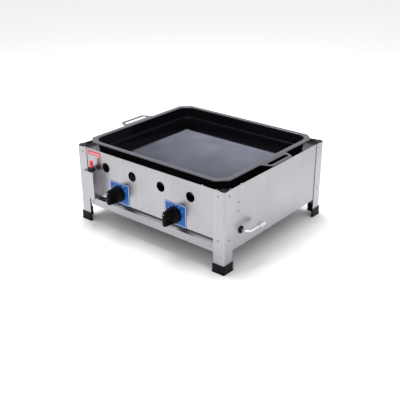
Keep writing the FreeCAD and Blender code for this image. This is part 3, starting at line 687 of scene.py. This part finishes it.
lead_skin = moulded_plastic("silicone_lead", (0.02, 0.018, 0.018), 0.5)
mark_paint = moulded_plastic("white_pointer_paint", (0.8, 0.8, 0.78), 0.4, scuff=0.0)
chrome = turned_metal("polished_chrome", (0.78, 0.79, 0.81), 0.07, tarnish=(0.6, 0.6, 0.62), amount=0.1)
brass = turned_metal("machined_brass", (0.68, 0.47, 0.2), 0.26, tarnish=(0.3, 0.18, 0.07))
copper = turned_metal("drawn_copper", (0.66, 0.33, 0.2), 0.28, tarnish=(0.25, 0.1, 0.05))
zinc = turned_metal("plated_pipe", (0.45, 0.46, 0.48), 0.35, tarnish=(0.3, 0.28, 0.2))
spring_steel = turned_metal("spring_wire", (0.5, 0.5, 0.52), 0.25, tarnish=(0.2, 0.18, 0.15))
burner_steel = heated_steel()

cap_edge = 0.8 * mm
sheet_edge = 0.25 * mm
plate_edge = 0.2 * mm
corners = ("front_left", "front_right", "rear_left", "rear_right")
sides = ("left", "right")
panels = ("front_panel", "rear_panel", "left_panel", "right_panel")
turned_stems = ("burner_", "valve_body_", "valve_plug_", "injector_", "thermocouple_", "spindle_",
                "knob_mark_", "manifold_hanger_")
small_parts = ("rail_screws", "frame_rivets", "leg_plugs", "inlet_pipe", "inlet_nut", "inlet_nipple",
               "inlet_grommet", "igniter_body", "igniter_bezel", "igniter_button", "ignition_lead",
               "spark_electrode", "manifold_pipe", "burner_support_front", "burner_support_rear",
               "electrode_clip", "stripe_label")
dress(["leg_" + c for c in corners], leg_steel_painted_light)
dress(["foot_cap_" + c for c in corners], cap_plastic)
dress(["gusset_" + c for c in corners], inner)
dress([*panels, "igniter_bracket"], steel)
dress(["front_rail"], rail_steel_painted_shade)
dress(["rail_screws", "frame_rivets"], fastener)
dress(["leg_plugs"], plug_plastic)
dress(["heat_shield"], sooted)
dress(["burner_support_front", "burner_support_rear", "electrode_clip"], inner)
dress(["manifold_hanger_" + s for s in sides], inner)
dress(["spindle_" + s for s in sides], inner)
dress(["burner_" + s for s in sides], burner_steel)
dress(["valve_body_" + s for s in sides] + ["valve_plug_" + s for s in sides], brass)
dress(["injector_" + s for s in sides], brass)
dress(["thermocouple_" + s for s in sides], copper)
dress(["knob_mark_" + s for s in sides], mark_paint)
dress(["manifold_pipe"], zinc)
dress(["inlet_pipe", "inlet_nut", "inlet_nipple"], chrome)
dress(["inlet_grommet"], rubber)
dress(["igniter_body", "igniter_bezel"], bezel_plastic)
dress(["igniter_button"], button_red)
dress(["ignition_lead"], lead_skin)
dress(["spark_electrode"], ceramic())
dress(["stripe_label"], red_stripes())
for side in sides:
    knob_low, knob_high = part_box("knob_" + side)
    plate = "knob_plate_" + side
    dress([plate], blue_scale("blue_scale_" + side, plate, (knob_low + knob_high) / 2))

for corner in corners:
    soften_cad("foot_cap_" + corner, cap_edge, segments=3)
    soften_cad("leg_" + corner, sheet_edge)
    smooth_cad("gusset_" + corner)
for name in (*panels, "front_rail", "igniter_bracket", "heat_shield"):
    soften_cad(name, sheet_edge)
for side in sides:
    soften_cad("knob_plate_" + side, plate_edge)
    for stem in turned_stems:
        smooth_cad(stem + side)
for name in small_parts:
    smooth_cad(name)

build_pan(enamel_black)
valve_spring_turns = 5
igniter_spring_turns = 9
for side in sides:
    build_knob(side, knob_plastic)
    build_spring("valve_spring_" + side, "tap_plug_" + side,
                 Vector((0, 1, 0)), valve_spring_turns, spring_steel)
build_spring("igniter_spring", "frame",
             Vector((0, 0, 1)), igniter_spring_turns, spring_steel)


# ---- floor, light, camera -----------------------------------------------------------------------
floor_size = 80
dome_low, dome_high, dome_height = 0.83, 1.08, 0.8
top_box_offset, top_box_size, top_box_power = (-0.32, 0.1, 1.9), (1.2, 1.2), 44
view_azimuth, view_elevation, view_roll = 39.61, 25.15, -0.25
camera_offset = Vector((1.3858, -1.6825, 1.0818))
lens_length, sensor_width = 62.2, 36


def build_floor():
    """Pale table top, much wider than any view."""
    bm = bmesh.new()
    bmesh.ops.create_grid(bm, x_segments=1, y_segments=1, size=floor_size)
    mesh = bpy.data.meshes.new("floor")
    bm.to_mesh(mesh)
    bm.free()
    floor = bpy.data.objects.new("floor", mesh)
    bpy.context.scene.collection.objects.link(floor)
    s = Shader("pale_floor")
    s.put("Base Color", (0.86, 0.86, 0.86, 1))
    s.put("Roughness", 0.7)
    s.put("Specular IOR Level", 0.2)
    mesh.materials.append(s.material)


def area_light(name, offset, size, power):
    """Soft box that looks at the middle of the body."""
    data = bpy.data.lights.new(name, "AREA")
    data.shape = "RECTANGLE"
    data.size, data.size_y = size
    data.energy = power
    lamp = bpy.data.objects.new(name, data)
    bpy.context.scene.collection.objects.link(lamp)
    target = body_centre + Vector((0, 0, 0.15))
    lamp.location = target + Vector(offset)
    lamp.rotation_euler = (-Vector(offset)).to_track_quat("-Z", "Y").to_euler()


def build_light():
    """Dome that brightens upwards, and a soft box overhead."""
    world = bpy.data.worlds.new("studio")
    world.use_nodes = True
    tree = world.node_tree
    background = tree.nodes["Background"]
    heading = tree.nodes.new("ShaderNodeTexCoord")
    split = tree.nodes.new("ShaderNodeSeparateXYZ")
    dome = tree.nodes.new("ShaderNodeMapRange")
    dome.inputs["From Min"].default_value = 0.0
    dome.inputs["From Max"].default_value = dome_height
    dome.inputs["To Min"].default_value = dome_low
    dome.inputs["To Max"].default_value = dome_high
    tree.links.new(heading.outputs["Generated"], split.inputs["Vector"])
    tree.links.new(split.outputs["Z"], dome.inputs["Value"])
    tree.links.new(dome.outputs["Result"], background.inputs["Strength"])
    background.inputs["Color"].default_value = (0.975, 0.98, 1.0, 1)
    bpy.context.scene.world = world
    area_light("top_box", top_box_offset, top_box_size, top_box_power)


def build_camera():
    """The photo's view: from the front right and above, with a slight roll."""
    azimuth, elevation, roll = (math.radians(a) for a in (view_azimuth, view_elevation, view_roll))
    back = Vector((math.sin(azimuth) * math.cos(elevation), -math.cos(azimuth) * math.cos(elevation),
                   math.sin(elevation)))
    right = Vector((0, 0, 1)).cross(back).normalized()
    up = back.cross(right)
    turned_right = right * math.cos(roll) + up * math.sin(roll)
    turned_up = up * math.cos(roll) - right * math.sin(roll)
    data = bpy.data.cameras.new("camera")
    data.sensor_width = sensor_width
    data.lens = lens_length
    camera = bpy.data.objects.new("camera", data)
    bpy.context.scene.collection.objects.link(camera)
    place = body_centre + camera_offset
    basis = Matrix((turned_right, turned_up, back)).transposed()
    camera.matrix_world = Matrix.Translation(place) @ basis.to_4x4()
    bpy.context.scene.camera = camera


build_floor()
build_light()
build_camera()
bpy.context.scene.view_settings.view_transform = "Standard"
